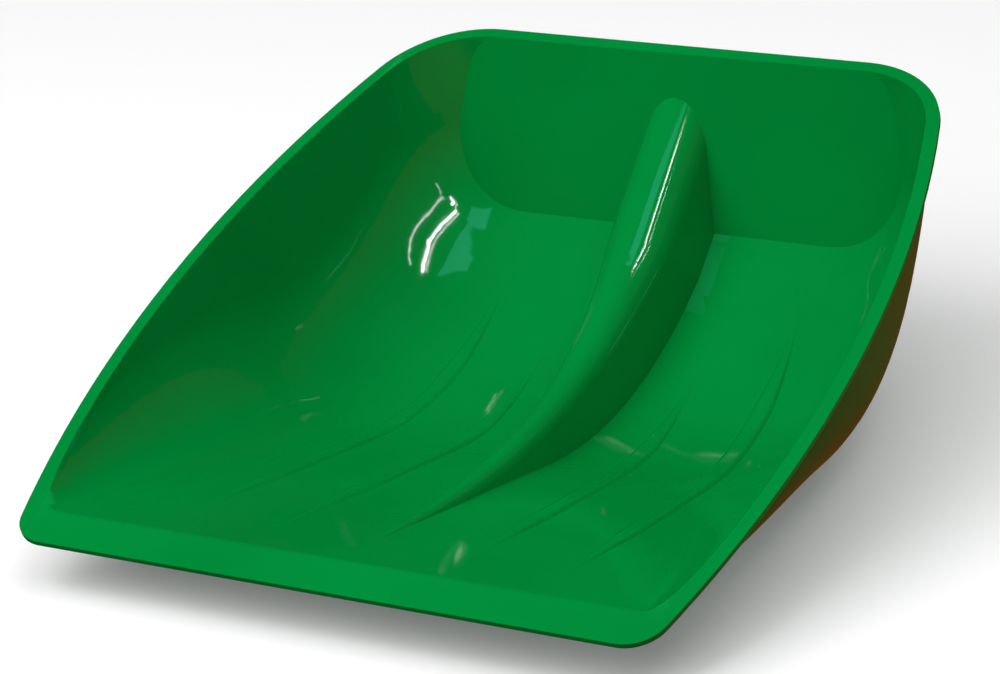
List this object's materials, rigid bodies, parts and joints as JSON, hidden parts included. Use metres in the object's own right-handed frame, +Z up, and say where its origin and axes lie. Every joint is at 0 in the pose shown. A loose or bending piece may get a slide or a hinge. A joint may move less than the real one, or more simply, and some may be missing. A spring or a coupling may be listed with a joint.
{
  "type": "snow shovel blade",
  "caption": "One-piece moulded snow shovel scoop with a flat rim, wide front lip, leaning back wall, stiffening ribs and a central tunnel with a socket for a round handle.",
  "frame": {"origin": "middle of the footprint, at the lowest point of the belly, as the blade lies on the ground", "axes": "+X across the blade to the right, +Y from the front lip to the back wall, +Z up; the rim is tipped 18.5 degrees, front down"},
  "size_m": [0.42, 0.439, 0.1729],
  "materials": {
    "green_plastic": "glossy moulded polypropylene"
  },
  "bodies": {
    "root": {"scoop_pan": "green_plastic", "back_wall": "green_plastic", "rim_flange": "green_plastic", "front_lip": "green_plastic", "handle_tunnel": "green_plastic", "handle_socket": "green_plastic", "socket_end_stop": "green_plastic", "screw_boss": "green_plastic", "rear_web": "green_plastic", "middle_web": "green_plastic", "front_web": "green_plastic", "left_outer_rib": "green_plastic", "left_inner_rib": "green_plastic", "right_inner_rib": "green_plastic", "right_outer_rib": "green_plastic"}
  },
  "joints": []
}
